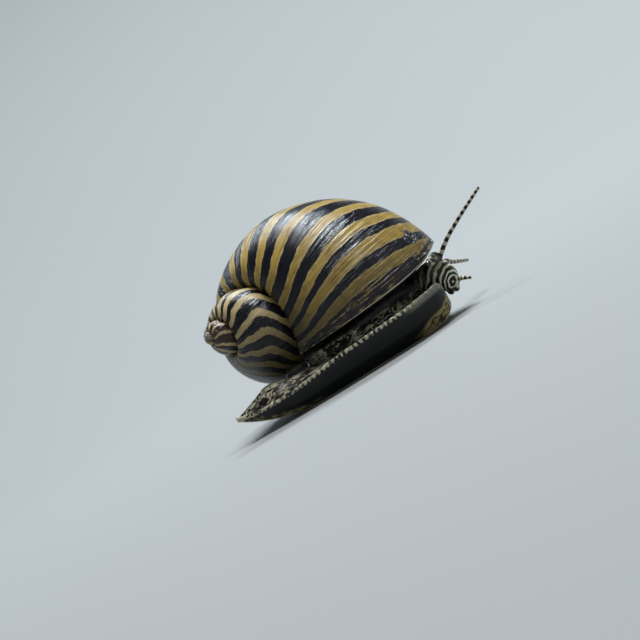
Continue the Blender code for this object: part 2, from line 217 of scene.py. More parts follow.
# How fine the meshes are: sections along a body, and sides round a section.
SHELL_SECTIONS = 372
LIP_SECTIONS = 14
WALL_SECTIONS = 20
SHELL_SIDES = 200
FOOT_SECTIONS = 240
FOOT_SIDES = 120
SOLE_SIDES = 40
HEAD_SECTIONS = 90
HEAD_MASK_FROM = 14  # the first section of the head that has the head's own skin
LIMB_SECTIONS = 120
BACKDROP_SIDES = 121
NOISE_CELLS = 32
FAR = 9.0  # a distance that no material reads as near


# Noise, curves and angles

def smooth(value, low, high):
    """0 below low, 1 above high, and 3 t squared less 2 t cubed between them."""
    t = np.clip((value - low) / (high - low), 0, 1)
    return t * t * (3 - 2 * t)


def noise(points, size, seed):
    """Smooth noise from -1 to 1: random values on a lattice, blended between a cell's corners."""
    table = np.random.default_rng(seed).uniform(-1, 1, (NOISE_CELLS,) * 3)
    places = np.asarray(points) / size
    cell = np.floor(places).astype(int)
    share = places - cell
    share = share * share * (3 - 2 * share)
    total = np.zeros(places.shape[:-1])
    for corner in np.ndindex(2, 2, 2):
        at = (cell + np.array(corner)) % NOISE_CELLS
        weight = np.prod(np.where(np.array(corner) == 1, share, 1 - share), axis=-1)
        total += table[at[..., 0], at[..., 1], at[..., 2]] * weight
    return total


def through(rows, places):
    """Rows of numbers read at places from 0 to 1: on each stretch a cubic whose slope at a
    row is half the step between its neighbours."""
    rows = np.asarray(rows, float)
    padded = np.concatenate([[2 * rows[0] - rows[1]], rows, [2 * rows[-1] - rows[-2]]])
    along = np.clip(np.asarray(places, float), 0, 1) * (len(rows) - 1)
    i = np.minimum(along.astype(int), len(rows) - 2)
    f = (along - i).reshape(along.shape + (1,) * (rows.ndim - 1))
    a, b, c, d = padded[i], padded[i + 1], padded[i + 2], padded[i + 3]
    return b + f * ((c - a) / 2 + f * (a - 2.5 * b + 2 * c - d / 2 + f * (1.5 * (b - c) + (d - a) / 2)))


def round_angles(count):
    """Evenly spaced angles round a section."""
    return np.linspace(0, 2 * math.pi, count, endpoint=False)


def wrapped(angle):
    """The same angle, from less pi to pi."""
    return (angle + math.pi) % (2 * math.pi) - math.pi


def turning(*degrees):
    """The matrix that turns by three angles in degrees."""
    return np.array(Euler([math.radians(angle) for angle in degrees]).to_matrix())


def squared_reach(at, power):
    """How far a squared circle reaches at an angle: |cos| and |sin| raised to a power, their
    sum raised to less one over it. A power of 2 is a circle, and one over 2 squares it."""
    return (np.abs(np.cos(at)) ** power + np.abs(np.sin(at)) ** power) ** (-1 / power)


# Meshes

def tube(rings):
    """Points and faces of a closed body: a grid of rings, with a pole at each end's middle.

    The faces are one array of quads and one of triangles, which are turned to point out
    by the sign of the volume that they enclose.
    """
    count, sides = rings.shape[:2]
    index = np.arange(count * sides).reshape(count, sides)
    ahead = np.roll(index, -1, axis=1)
    quads = np.stack([index[:-1], ahead[:-1], ahead[1:], index[1:]], axis=-1).reshape(-1, 4)
    first = np.stack([ahead[0], index[0], np.full(sides, count * sides)], axis=-1)
    last = np.stack([index[-1], ahead[-1], np.full(sides, count * sides + 1)], axis=-1)
    points = np.vstack([rings.reshape(-1, 3), rings[0].mean(axis=0), rings[-1].mean(axis=0)])
    poles = np.vstack([first, last])
    parts = np.vstack([quads[:, :3], quads[:, [0, 2, 3]], poles])
    a, b, c = points[parts[:, 0]], points[parts[:, 1]], points[parts[:, 2]]
    if np.einsum("ij,ij->i", a, np.cross(b, c)).sum() < 0:
        quads, poles = quads[:, ::-1], poles[:, ::-1]
    return points, (quads, poles)


def together(bodies):
    """Several bodies' points and faces as one array of each kind."""
    starts = np.cumsum([0] + [len(points) for points, _ in bodies[:-1]])
    faces = tuple(np.vstack([body[1][kind] + start for body, start in zip(bodies, starts)])
                  for kind in (0, 1))
    return np.vstack([points for points, _ in bodies]), faces


def put(name, points, faces, finish, values=None):
    """A smooth mesh object from points in millimetres, with values kept at each point."""
    mesh = bpy.data.meshes.new(name)
    mesh.from_pydata((points * MM).tolist(), [], [face for kind in faces for face in kind.tolist()])
    made = bpy.data.objects.new(name, mesh)
    bpy.context.scene.collection.objects.link(made)
    mesh.materials.append(finish)
    mesh.shade_smooth()
    keep(made, values or {})
    return made


def keep(made, values):
    """Keeps one number, or one row of three, at each point of a mesh for its material."""
    for name, numbers in values.items():
        kind, field = ("FLOAT", "value") if numbers.ndim == 1 else ("FLOAT_VECTOR", "vector")
        stored = made.data.attributes.new(name, kind, "POINT")
        stored.data.foreach_set(field, numbers.astype(np.float32).ravel())


def read_rows(items, field, width, kind=np.float32):
    """A row of numbers for each point, normal, edge or corner of a mesh."""
    found = np.empty(len(items) * width, kind)
    items.foreach_get(field, found)
    return found.reshape(-1, width)


def read_points(mesh):
    """A mesh's points in millimetres."""
    return read_rows(mesh.vertices, "co", 3).astype(float) / MM


def move_points(mesh, points):
    """Puts a mesh's points at other places, in millimetres."""
    mesh.vertices.foreach_set("co", (points * MM).astype(np.float32).ravel())
    mesh.update()


def oval(middle, across, up, half_across, half_up, at, power=2.0):
    """Rings round middles: a squared circle stretched to a half width and a half height."""
    reach = squared_reach(at, power)
    return (middle[..., None, :]
            + (half_across[..., None] * reach * np.cos(at))[..., None] * across[..., None, :]
            + (half_up[..., None] * reach * np.sin(at))[..., None] * up[..., None, :])


# Materials

def add_node(tree, kind, inputs=None, **settings):
    """A new node with its settings, and with its inputs linked or set."""
    made = tree.nodes.new(kind)
    for name, value in settings.items():
        setattr(made, name, value)
    for name, value in (inputs or {}).items():
        feed(value, made.inputs[name])
    return made


def feed(value, socket):
    """Links a Value to a socket, or sets the socket to a number, a place or a colour's three."""
    if isinstance(value, Value):
        socket.id_data.links.new(value.socket, socket)
    elif socket.type == "RGBA":
        socket.default_value = (*value, 1.0)
    else:
        socket.default_value = value


def values_of(sockets):
    """A node's named sockets as Values."""
    return {socket.name: Value(socket) for socket in sockets if socket.name}


class Value:
    """What a node puts out: a number, a place or a colour. Each sign or method adds a node."""

    def __init__(self, socket):
        """Holds the output."""
        self.socket = socket

    def node(self, kind, output, inputs, **settings):
        """One output of a new node in the same tree."""
        return Value(add_node(self.socket.id_data, kind, inputs, **settings).outputs[output])

    def math(self, operation, *others):
        """A Math node's result, of this number and any others."""
        return self.node("ShaderNodeMath", 0, dict(enumerate((self, *others))), operation=operation)

    __add__ = partialmethod(math, "ADD")
    __sub__ = partialmethod(math, "SUBTRACT")
    __mul__ = partialmethod(math, "MULTIPLY")
    __truediv__ = partialmethod(math, "DIVIDE")
    __abs__ = partialmethod(math, "ABSOLUTE")
    __or__ = partialmethod(math, "MAXIMUM")
    sine = partialmethod(math, "SINE")
    cosine = partialmethod(math, "COSINE")

    def __rsub__(self, other):
        """A plain number less this one."""
        return self.node("ShaderNodeMath", 0, {0: other, 1: self}, operation="SUBTRACT")

    def between(self, low, high):
        """0 at low and 1 at high, smoothly."""
        return self.node("ShaderNodeMapRange", "Result",
                         {"Value": self, "From Min": low, "From Max": high},
                         interpolation_type="SMOOTHSTEP")

    def shaken(self, noise_value, amount):
        """The number moved by noise, less its middle value, times an amount."""
        return self + (noise_value - 0.5) * amount

    def near(self, middle, low, high):
        """0 at a distance low from a middle number and 1 at a distance high, smoothly."""
        return abs(self - middle).between(low, high)

    def stretched(self, *sizes):
        """A place multiplied by three sizes."""
        return self.node("ShaderNodeVectorMath", 0, {0: self, 1: sizes}, operation="MULTIPLY")

    def noise(self, scale, detail=2.0, roughness=0.5, distortion=0.0):
        """Noise from 0 to 1 at a place."""
        return self.node("ShaderNodeTexNoise", "Fac", {
            "Vector": self, "Scale": scale, "Detail": detail, "Roughness": roughness,
            "Distortion": distortion,
        })

    def mix(self, a, b, kind="RGBA"):
        """Colour or number a where this share is 0, and b where it is 1."""
        return self.node("ShaderNodeMix", "Result", {"Factor": self, "A": a, "B": b}, data_type=kind)


def layered(base, *layers):
    """Colours laid over a base one after another, each by its own mask."""
    for mask, over in layers:
        base = mask.mix(base, over)
    return base


class Finish:
    """A new material with its Principled shader, set to what is the same all over it."""

    def __init__(self, name, roughness, coat, coat_roughness, ior=1.45, specular=0.5):
        self.made = bpy.data.materials.new(name)
        self.made.use_nodes = True
        self.tree = self.made.node_tree
        self.shader = self.tree.nodes["Principled BSDF"].inputs
        for label, value in (
            ("Roughness", roughness), ("Coat Weight", coat), ("Coat Roughness", coat_roughness),
            ("IOR", ior), ("Specular IOR Level", specular),
        ):
            self.shader[label].default_value = value
        self.place = Value(add_node(self.tree, "ShaderNodeTexCoord").outputs["Object"])

    def kept(self, *names, output="Fac"):
        """The values of those names that the mesh keeps at its points."""
        return [Value(add_node(self.tree, "ShaderNodeAttribute", attribute_name=name).outputs[output])
                for name in names]

    def shared(self, name, **inputs):
        """A shared group's outputs, with this material's own inputs."""
        made = add_node(self.tree, "ShaderNodeGroup", inputs, node_tree=shared_group(name))
        return values_of(made.outputs)

    def colour(self, value):
        feed(value, self.shader["Base Color"])

    def roughness(self, value):
        feed(value, self.shader["Roughness"])

    def relief(self, height, distance, strength):
        """Bends the normal by a height, in units of a distance in metres."""
        bump = height.node("ShaderNodeBump", "Normal",
                           {"Height": height, "Distance": distance, "Strength": strength})
        feed(bump, self.shader["Normal"])


def mottling(given):
    """Worm-like blotches: where distorted noise is near its middle value, in a chosen width."""
    worms = given["Place"].noise(given["Scale"], 2.0, 0.55, 0.6)
    return {"Mask": 1.0 - (abs(worms - 0.5) / given["Width"]).between(0.6, 1.2)}


def fine_grain(given):
    """Fine grain: two sizes of noise, as a height and as a value round one half."""
    fine = given["Place"].noise(given["Scale"], 4.0, 0.6)
    coarse = given["Place"].noise(given["Scale"] * 0.23, 2.0, 0.5)
    return {"Height": fine * 0.5 + coarse * 0.5, "Value": coarse}


# The shared groups: what fills each, and its numbers with their defaults.
GROUPS = {
    "Mottling": (mottling, {"Scale": 1000.0, "Width": 0.06}),
    "Fine grain": (fine_grain, {"Scale": 3000.0}),
}


def shared_group(name):
    """A shader node group that gets a place and numbers, made when it is first asked for."""
    made = bpy.data.node_groups.get(name)
    if made:
        return made
    made = bpy.data.node_groups.new(name, "ShaderNodeTree")
    fill, numbers = GROUPS[name]
    made.interface.new_socket(name="Place", in_out="INPUT", socket_type="NodeSocketVector")
    for label, value in numbers.items():
        socket = made.interface.new_socket(name=label, in_out="INPUT", socket_type="NodeSocketFloat")
        socket.default_value = value
    filled = fill(values_of(add_node(made, "NodeGroupInput").outputs))
    for label in filled:
        made.interface.new_socket(name=label, in_out="OUTPUT", socket_type="NodeSocketFloat")
    add_node(made, "NodeGroupOutput", filled)
    return made


# The shell

def coil_point(turn, at, inset=0.0, reach_in=DECK_REACH):
    """Points of the shell in the animal's frame.

    A squared oval, at angle at, shrunk by an inset, is the mouth. Carried back by a turn
    it is scaled by e to the growth times the turn and rotated by less the turn about the
    coil's axis; then the coil is laid over by its tilt and moved to the apex.
    """
    turn, at, inset, reach_in = np.broadcast_arrays(turn, at, inset, reach_in)
    cos, sin = np.cos(at), np.sin(at)
    reach = squared_reach(at, np.where((cos < 0) & (sin < 0), BASE_SQUARENESS, MOUTH_SQUARENESS))
    tilt = turning(*MOUTH_TILT)
    deck = smooth(DECK_FROM - reach * sin, 0, DECK_BLEND) * (reach_in - 1)
    across = (MOUTH_HALF_WIDTH - inset) * reach * cos * np.where(cos < 0, 1 + deck, 1)
    along = (MOUTH_HALF_LENGTH - inset) * reach * sin
    middle = np.array([MOUTH_RADIUS, 0, -MOUTH_DROP])
    outline = middle + across[..., None] * tilt[:, 0] + along[..., None] * tilt[:, 2]
    size = np.exp(COIL_GROWTH * turn)
    turned = np.stack([
        size * (np.cos(-turn) * outline[..., 0] - np.sin(-turn) * outline[..., 1]),
        size * (np.sin(-turn) * outline[..., 0] + np.cos(-turn) * outline[..., 1]),
        size * outline[..., 2],
    ], axis=-1)
    return turned @ turning(*COIL_TILT).T + np.array(APEX)


def coil_place(turn, at, radius=4.0):
    """Places for noise: a circle round the mouth, and the length along the outer coil, which
    is its radius over the growth, times e to the growth times the turn."""
    along = OUTER_RADIUS / COIL_GROWTH * np.exp(COIL_GROWTH * turn)
    return np.stack(np.broadcast_arrays(along, radius * np.cos(at), radius * np.sin(at)), axis=-1)


def bell(at, place, width):
    """1 at a place round the mouth, falling as e to less the square of the distance over a width."""
    return np.exp(-((wrapped(at - place) / width) ** 2))


def lip_trim(at):
    """How far back the lip ends, in radians of the coil: a bell round one place."""
    return LIP_TRIM * bell(at, LIP_TRIM_AT, LIP_TRIM_SPREAD)


def shell_relief(turn, at):
    """Growth lines, in millimetres: noise that is short along the coil and long round it."""
    place = coil_place(turn, at, 3.0)
    fine = noise(place * (1, 0.35, 0.35), 0.42, 3)
    coarse = noise(place * (1, 0.3, 0.3), 1.7, 4)
    return smooth(turn, -14, -5) * (FINE_LINES * fine + COARSE_LINES * coarse)


def shell_band(turn, at):
    """How many bands back from the lip a place is: even to odd is dark, odd to even golden.

    The bands lean by an amount that is a smooth curve round the mouth, and wander a little.
    """
    back = -turn
    share = ((at + math.pi) % (2 * math.pi)) / (2 * math.pi)
    front, rear, older = (through(np.array(row, float)[:, None], share)[..., 0] for row in LEANS)
    lean = front + (rear - front) * smooth(back, 0.45, 1.25)
    lean = lean + (older - lean) * smooth(back, 4.4, 5.6)
    chevron = sum(push * bell(at, place, width) for push, place, width in CHEVRON)
    lean = lean + chevron * smooth(back, 4.6, 5.6) * (1 - smooth(back, 6.5, 7.5))
    place = coil_place(turn, at)
    wander = 0.018 * noise(place, 2.4, 11) + 0.008 * noise(place, 0.9, 12)
    wander = wander * (1 + 2 * smooth(back, 4.4, 5.6))
    ends = np.array(DARK_BANDS).ravel()
    return np.interp(back - (lean + wander) * smooth(back, 0.0, 0.2), ends, np.arange(len(ends)))


def shell_material(settings):
    """Black and golden growth bands with a streaky gloss, painted shade low down and by the inner lip,
    painted glints in a worn spot, and a worn, chalky apex.
    """
    finish = Finish("Coil bands", 0.25, 0.0, 0.1, 1.48, 0.40)
    place = finish.place
    coil, = finish.kept("coil", output="Vector")
    band, back, lip, painted_shade, ahead, inside, rim_light = finish.kept(
        "band", "back", "lip", "painted_shade", "ahead", "inside", "rim_light")
    scar, from_apex = finish.kept("scar", "from_apex")
    dark_colour, pale_colour = settings.dark_colour, settings.pale_colour
    edge_colour, brown_colour = settings.edge_colour, settings.brown_colour

    streaks = coil.stretched(7.0, 0.35, 0.35).noise(1.0, 3.0, 0.6)
    broad = coil.stretched(1.6, 0.30, 0.30).noise(1.0, 3.0, 0.6)
    ragged = coil.stretched(2.2, 2.0, 2.0).noise(1.0, 4.0, 0.65)
    wave = (band.shaken(ragged, 0.40) * math.pi).sine()
    dark = wave.between(-0.12, 0.06)

    inner = (wave * -1.0).between(0.05, 0.70)
    gold = layered(
        inner.mix(edge_colour, settings.gold_colour),
        (place.noise(900.0, 3.0, 0.6).between(0.42, 0.68) * 0.6, brown_colour),
        (back.between(4.8, 6.0), inner.mix(edge_colour, settings.cream_colour)),
        (streaks.between(0.38, 0.72) * 0.5, brown_colour),
        # Painted shade: the light bands turn olive low down and by the inner lip, where shade falls.
        (painted_shade * 0.95, settings.olive_and_shade_colour),
    )
    black = layered(
        dark_colour,
        (broad.between(0.48, 0.75) * 0.7, settings.plum_colour),
        (back.between(11.2, 12.4) * 0.6, settings.red_colour),
    )

    # Behind the lip are fine pale lines and flecks, on one side a worn spot with pale flecks in it
    # that are painted glints, and the apex is worn to chalk.
    hairs = coil.stretched(7.5, 0.40, 0.40).noise(1.0, 2.0, 0.6).between(0.54, 0.62)
    broken = coil.stretched(1.5, 1.6, 1.6).noise(1.0, 3.0, 0.6)
    hairs = hairs * broken.between(0.38, 0.55) * lip.between(1.9, 1.3)
    specks = coil.stretched(3.2, 2.4, 2.4).noise(1.0, 2.0, 0.6).between(0.60, 0.66)
    scar = scar.shaken(ragged, 1.8).between(0.95, 0.65)
    painted_glints = place.noise(2600.0, 2.0, 0.6).between(0.58, 0.64)
    chalk = place.noise(1100.0, 4.0, 0.7)
    worn = (from_apex + chalk * 4.5).between(3.3, 2.9)
    finish.colour(layered(
        dark.mix(gold, black),
        (lip.shaken(ragged, 1.6).between(1.0, 0.7) * ahead, black),
        (hairs * 0.8, broken.between(0.5, 0.6).mix(brown_colour, edge_colour)),
        (specks * lip.between(1.4, 0.9) * ahead, pale_colour),
        (scar, painted_glints.mix(dark_colour, pale_colour)),
        (inside.between(0.0, 0.03) * rim_light, pale_colour),
        (inside.between(0.07, 0.13), settings.olive_and_shade_colour),
        (inside.between(0.30, 0.60), dark_colour),
        (worn, chalk.between(0.4, 0.6).mix(settings.chalk_colour, pale_colour)),
    ))
    rough = dark.mix(0.30, 0.16, "FLOAT").shaken(streaks, 0.30)
    finish.roughness(worn.mix(rough, 0.85, "FLOAT"))

    lines = coil.stretched(3.4, 0.22, 0.22).noise(1.0, 2.0, 0.5)
    grain = finish.shared("Fine grain", Place=place, Scale=5200.0)["Height"]
    height = streaks * 0.65 + broad * 1.6 + lines * 1.1 + grain * 0.22 + dark * 0.12
    height = height - scar * ragged * 1.2 + worn * chalk * 2.5
    finish.relief(height, settings.growth_lines * 0.00013, 1.0)
    return finish.made


def make_shell(settings):
    """The outer coil, the rounded lip and deck, and the inner wall, as one closed grid."""
    at = round_angles(SHELL_SIDES)
    length = np.linspace(math.exp(-COIL_GROWTH * 2 * math.pi * COIL_TURNS), 1, SHELL_SECTIONS)
    turns, ats = np.meshgrid(np.log(length) / COIL_GROWTH, at, indexing="ij")
    trimmed = turns - lip_trim(ats) * np.exp(turns / 0.5)
    lines = shell_relief(turns, ats) * smooth(-turns, 0.0, 0.06) * settings.growth_lines
    outer = coil_point(trimmed, ats, -lines)

    thick = settings.lip_thickness / MM
    share = np.linspace(0, 1, LIP_SECTIONS)[1:, None]
    lip_turn = -lip_trim(at)[None, :]
    bulge = LIP_BULGE * np.sin(math.pi * share) ** 0.7
    lip = coil_point(lip_turn + bulge, at, share * thick * LIP_SHARE,
                     DECK_REACH + (1.0 - DECK_REACH) * share)
    deep = np.linspace(0, 1, WALL_SECTIONS)[1:, None]
    wall = thick * (LIP_SHARE + (1 - LIP_SHARE) * smooth(deep, 0.0, 0.25))
    inner = coil_point(lip_turn * (1 - deep) - MOUTH_DEPTH * deep, at, wall, 1.0)
    points, faces = tube(np.vstack([outer, lip, inner]))

    # Painted shade: the light bands are darkened by the inner lip near the mouth, and more the lower a
    # place is, as shade falls there.
    back, around = -turns, wrapped(ats)
    low = smooth(around, 0.55, 1.35) * (1 - smooth(back, 0.25, 1.1)) * (around < TOP_ANGLE)
    height = points[:turns.size, 2].reshape(turns.shape)
    # Painted shade: the lip's pale edge fades out towards its inner side, which lies in shade.
    pale = 1 - 0.9 * smooth(wrapped(at), -0.1, 0.8) * (wrapped(at) < TOP_ANGLE)
    coil = coil_place(turns, ats).reshape(-1, 3)
    lip_coil = np.tile(coil_place(0.0, at), (len(lip) + len(inner), 1))
    from_lip = np.linalg.norm(np.vstack([lip, inner]) - outer[-1], axis=-1)

    def spread(numbers, rest=0.0):
        """A number at each point: the outer coil's first, and one for all the others."""
        return np.concatenate([numbers.ravel(), np.full(len(points) - turns.size, rest)])

    return put("shell_coil", points, faces, shell_material(settings), {
        "coil": np.vstack([coil, lip_coil, coil[0], lip_coil[-1]]),
        "band": spread(shell_band(trimmed, ats)),
        "lip": spread(back * OUTER_RADIUS),
        "inside": np.concatenate([np.zeros(turns.size), from_lip.ravel(), [0, FAR]]),
        "back": spread(back),
        "from_apex": np.linalg.norm(points - points[-2], axis=1),
        "scar": spread(np.hypot((-trimmed - SCAR[0]) * OUTER_RADIUS, (around - SCAR[1]) * 7.0), FAR),
        "painted_shade": spread(np.maximum(low, 0.92 * (1 - smooth(height, 5.5, 11.5)))),
        "ahead": spread(smooth(-around, 0.45, 0.95) * (1 - smooth(-around, 1.7, 2.2))),
        "rim_light": np.concatenate([np.tile(pale, len(outer) + len(lip) + len(inner)), [0, 0]]),
    })


# The skin

def foot_table():
    """The foot's measures at many places along it."""
    return through(FOOT, np.linspace(0, 1, 600))


def foot_at(x):
    """The foot's nine measures at places along X, with its sole no lower than the floor."""
    table = foot_table()
    measures = np.array([np.interp(x, table[:, 0], table[:, i]) for i in range(1, 10)])
    measures[6] = np.maximum(measures[6], 0)
    return measures


def foot_body():
    """The foot: a closed curve through ten places of each section, carried along X."""
    x = np.linspace(FOOT[0][0], FOOT[-1][0], FOOT_SECTIONS)
    near, near_up, far, far_up, sole_near, sole_far, sole, crest, crest_up = foot_at(x)
    half = RIM_THICKNESS / 2
    side = near + 0.3 * (sole_near - near)
    keys = np.array([
        (side, sole + 0.42 * (near_up - sole)),
        (near, near_up - half),
        (near + 0.25 * half, near_up + half),
        (near + 1.2 * half, near_up + 0.7 * half),
        (near + 0.45 * (crest - near), near_up + 0.45 * (crest_up - near_up)),
        (crest, crest_up),
        (crest + 0.5 * (far - crest), crest_up + 0.45 * (far_up - crest_up)),
        (far - 1.2 * half, far_up + half),
        (far, far_up),
        (far - 0.5 * half, far_up - 1.1 * half),
    ])
    curve = through(keys, np.linspace(0, 1, FOOT_SIDES)).transpose(2, 0, 1)
    share = np.linspace(0, 1, SOLE_SIDES)
    sole_across = sole_far[:, None] + (sole_near - sole_far)[:, None] * share
    sole_line = np.stack(np.broadcast_arrays(sole_across, sole[:, None]), axis=-1)
    loop = np.concatenate([curve, sole_line], axis=1)
    loop[..., 1] = np.maximum(loop[..., 1], sole[:, None])
    return tube(np.concatenate([np.repeat(x[:, None, None], loop.shape[1], axis=1), loop], axis=-1))


def stalk_body():
    """Level ovals, one above another."""
    up, along, across, half_along, half_across = through(STALK, np.linspace(0, 1, 40)).T
    middle = np.stack([along, across, up], axis=-1)
    x, y = np.array([[1.0, 0, 0]]), np.array([[0, 1.0, 0]])
    return tube(oval(middle, x, y, half_along, half_across, round_angles(90)))


def mantle_body():
    """The mouth's outline, inset, carried back along the coil to fill the mouth."""
    start, end = MANTLE_TURNS
    at = round_angles(160)
    rings = coil_point(np.linspace(start - 0.03, end, 24)[:, None], at, MANTLE_INSET, 1.0)
    first = coil_point(start, at, MANTLE_INSET + 0.4, 1.0)[None]
    last = coil_point(end - 0.06, at, MANTLE_INSET + 1.5, 1.0)[None]
    return tube(np.vstack([first, rings, last]))


def head_frames():
    """Middles, sideways and upward directions and half sizes along the head's middle line."""
    x, y, z, half_width, half_height, lean = through(HEAD, np.linspace(0, 1, HEAD_SECTIONS)).T
    lean = np.radians(lean)
    middle = np.stack([x, y, z], axis=-1)
    up = np.stack([np.sin(lean), np.zeros(HEAD_SECTIONS), np.cos(lean)], axis=-1)
    return middle, np.array([[0, 1.0, 0]]), up, half_width, half_height


def ball_body(middle, radii, rows=32):
    """A stretched ball: sine and cosine of the latitude times those of the longitude."""
    down = np.linspace(0.04, math.pi - 0.04, rows)[:, None]
    at = round_angles(rows * 2)
    unit = np.stack([np.sin(down) * np.cos(at), np.sin(down) * np.sin(at),
                     np.cos(down) * np.ones_like(at)], axis=-1)
    return tube(unit * radii + np.asarray(middle))


def round_tip(left, radius, least):
    """The share of its width that a limb has near its tip: the height of a half circle, at
    what is left of the limb's length."""
    return np.sqrt(np.clip(1 - (1 - np.clip(left / radius, 0, 1)) ** 2, least, 1))


def limb_body(line, radii):
    """Round sections along a middle line, tapering evenly, with a half-round tip."""
    places = np.linspace(0, 1, LIMB_SECTIONS)
    middle = through(line, places)
    ahead = np.gradient(middle, axis=0)
    ahead /= np.linalg.norm(ahead, axis=1, keepdims=True)
    across = np.cross(ahead, (0, 0, 1))
    across /= np.linalg.norm(across, axis=1, keepdims=True)
    left = np.linalg.norm(middle - middle[-1], axis=1)
    radius = (radii[0] + (radii[1] - radii[0]) * places) * round_tip(left, radii[1], 0.02)
    return tube(oval(middle, across, np.cross(across, ahead), radius, radius, round_angles(32)))


def tentacle_line(side):
    """The tentacle's middle line with its root sunk in the head."""
    return (TENTACLE_ROOTS[side], *TENTACLES[side])


def to_line(points, rows, count):
    """Each point's distance from a middle line, the nearest of its places, that place's
    number and the length along the line to it, and the line's whole length."""
    line = through(rows, np.linspace(0, 1, count))
    lengths = np.concatenate([[0], np.cumsum(np.linalg.norm(np.diff(line, axis=0), axis=1))])
    best = np.full(len(points), np.inf)
    nearest = np.zeros(len(points), int)
    for i, middle in enumerate(line):
        away = np.linalg.norm(points - middle, axis=1)
        nearer = away < best
        best[nearer] = away[nearer]
        nearest[nearer] = i
    return best, line[nearest], nearest, lengths[nearest]


def tentacle_at(points, side, count):
    """Each point's distance from a tentacle's middle line, the nearest place on it, the
    length out from the head's skin to that place, and the tentacle's radius there."""
    away, middle, nearest, length = to_line(points, tentacle_line(side), count)
    out = length - math.dist(TENTACLE_ROOTS[side], TENTACLES[side][0])
    return away, middle, out, np.interp(nearest, (0, count - 1), TENTACLE_RADIUS)


def foot_values(x, y, z):
    """The signed distance from the foot's rim, which is more than 0 over it and less under
    it, the distance from its lower edge, and the length along it from the tail."""
    near, near_up, far, far_up, sole_near, sole_far, sole, crest, crest_up = foot_at(x)
    left = y > crest
    rim_y, rim_z = np.where(left, far, near), np.where(left, far_up, near_up)
    inward = np.where(left, rim_y - y, y - rim_y)
    middle_z = sole + 0.5 * (np.minimum(crest_up, rim_z) - sole)
    split = middle_z + (rim_z - middle_z) * np.exp(-np.maximum(inward, 0) / 0.7)
    rim = np.hypot(y - rim_y, z - rim_z) * np.sign(z - split)
    rim = np.where(x < TAIL_CAP, np.minimum(np.abs(rim), 0.2), rim)
    front_x, front_near, front_far, front_up = (FOOT[-1][i] for i in (0, 5, 6, 7))
    beside = np.maximum(np.maximum(front_near - y, y - front_far), 0)
    to_front = np.sqrt((x - front_x) ** 2 + beside ** 2 + (z - front_up) ** 2)
    edge = np.minimum(np.hypot(y - np.where(left, sole_far, sole_near), z - sole), to_front)
    table = foot_table()
    steps = np.linalg.norm(np.diff(table[:, :3], axis=0), axis=1)
    return rim, edge, np.interp(x, table[:, 0], np.concatenate([[0], np.cumsum(steps)]))


def head_values(points):
    """1 on the head and 0 off it, and the number of rings out from their middle: the
    distance from it, stretched along one direction, read from the rings' distances."""
    middle, across, up, half_width, half_height = head_frames()
    ahead = np.cross(across, up)
    off = np.full(len(points), FAR)
    for i in range(HEAD_MASK_FROM, HEAD_SECTIONS):
        away = points - middle[i]
        size = np.sqrt((away[:, 1] / half_width[i]) ** 2 + (away @ up[i] / half_height[i]) ** 2
                       + (away @ ahead[i] / 0.5) ** 2)
        off = np.minimum(off, size)
    dx, dz = points[:, 0] - RING_MIDDLE[0], points[:, 2] - RING_MIDDLE[1]
    ux, uz, stretch = RING_STRETCH
    inner = 0.6 * np.maximum(1.5 - np.abs(points[:, 1] - HEAD[-1][1]), 0)
    distance = np.sqrt((dx * uz - dz * ux) ** 2 + ((dx * ux + dz * uz) / stretch) ** 2 + inner ** 2)
    ring = np.interp(distance, RING_DISTANCES, np.arange(len(RING_DISTANCES)))
    return 1 - smooth(off, 1.12, 1.32), ring


def feeler_values(points):
    """The length out along a tentacle or the palp, a mask of both and one of the palp."""
    feeler, mask = np.zeros(len(points)), np.zeros(len(points))
    for side in TENTACLES:
        away, _, out, radius = tentacle_at(points, side, 260)
        on = smooth(out, -0.05, 0.25) * (away < radius * 1.6 + 0.06)
        feeler = np.where(on > mask, out, feeler)
        mask = np.maximum(mask, on)
    away, _, _, length = to_line(points, PALP, 60)
    palp = smooth(length, 0.9, 1.2) * (away < 0.5)
    feeler = np.where(palp > mask, 1.9 * (length - 0.9), feeler)
    return feeler, np.maximum(mask, palp), palp


def skin_values(points):
    """What the skin's material and relief read at each point: where it is on the foot, on
    the head, on the feelers and near the eyes."""
    x, y, z = points.T
    rim, edge, along = foot_values(x, y, z)
    head, ring = head_values(points)
    feeler, feeler_mask, palp = feeler_values(points)
    to_dot = np.min([np.hypot(x - dot_x, z - dot_z) for dot_x, dot_z in SNOUT_DOTS], axis=0)
    eye_gap = np.min([np.linalg.norm(points - np.array(eye), axis=1) for eye in EYES.values()], axis=0)
    in_mouth = smooth(z, 4.2, 4.6) * (1 - head) * (1 - feeler_mask)
    return {
        "rim": rim, "edge": edge, "along": along, "head": head, "ring": ring, "feeler": feeler,
        "feeler_mask": feeler_mask, "eye_gap": eye_gap,
        "foot": (1 - head) * (1 - feeler_mask) * (1 - in_mouth),
        "lips": head * (1 - smooth(z, 2.45, 2.75)) * (1 - palp),
        "tail": 1 - smooth(x, -12.2, -11.6),
        "dots": head * (1 - smooth(to_dot, 0.7 * SNOUT_DOT_RADIUS, 1.3 * SNOUT_DOT_RADIUS)),
    }


def feeler_bands(length):
    """Bands from the root: they are 0.98 mm apart there, and get closer evenly."""
    return -np.log(np.clip(1 - 0.056 * length, 0.2, 2)) / 0.055


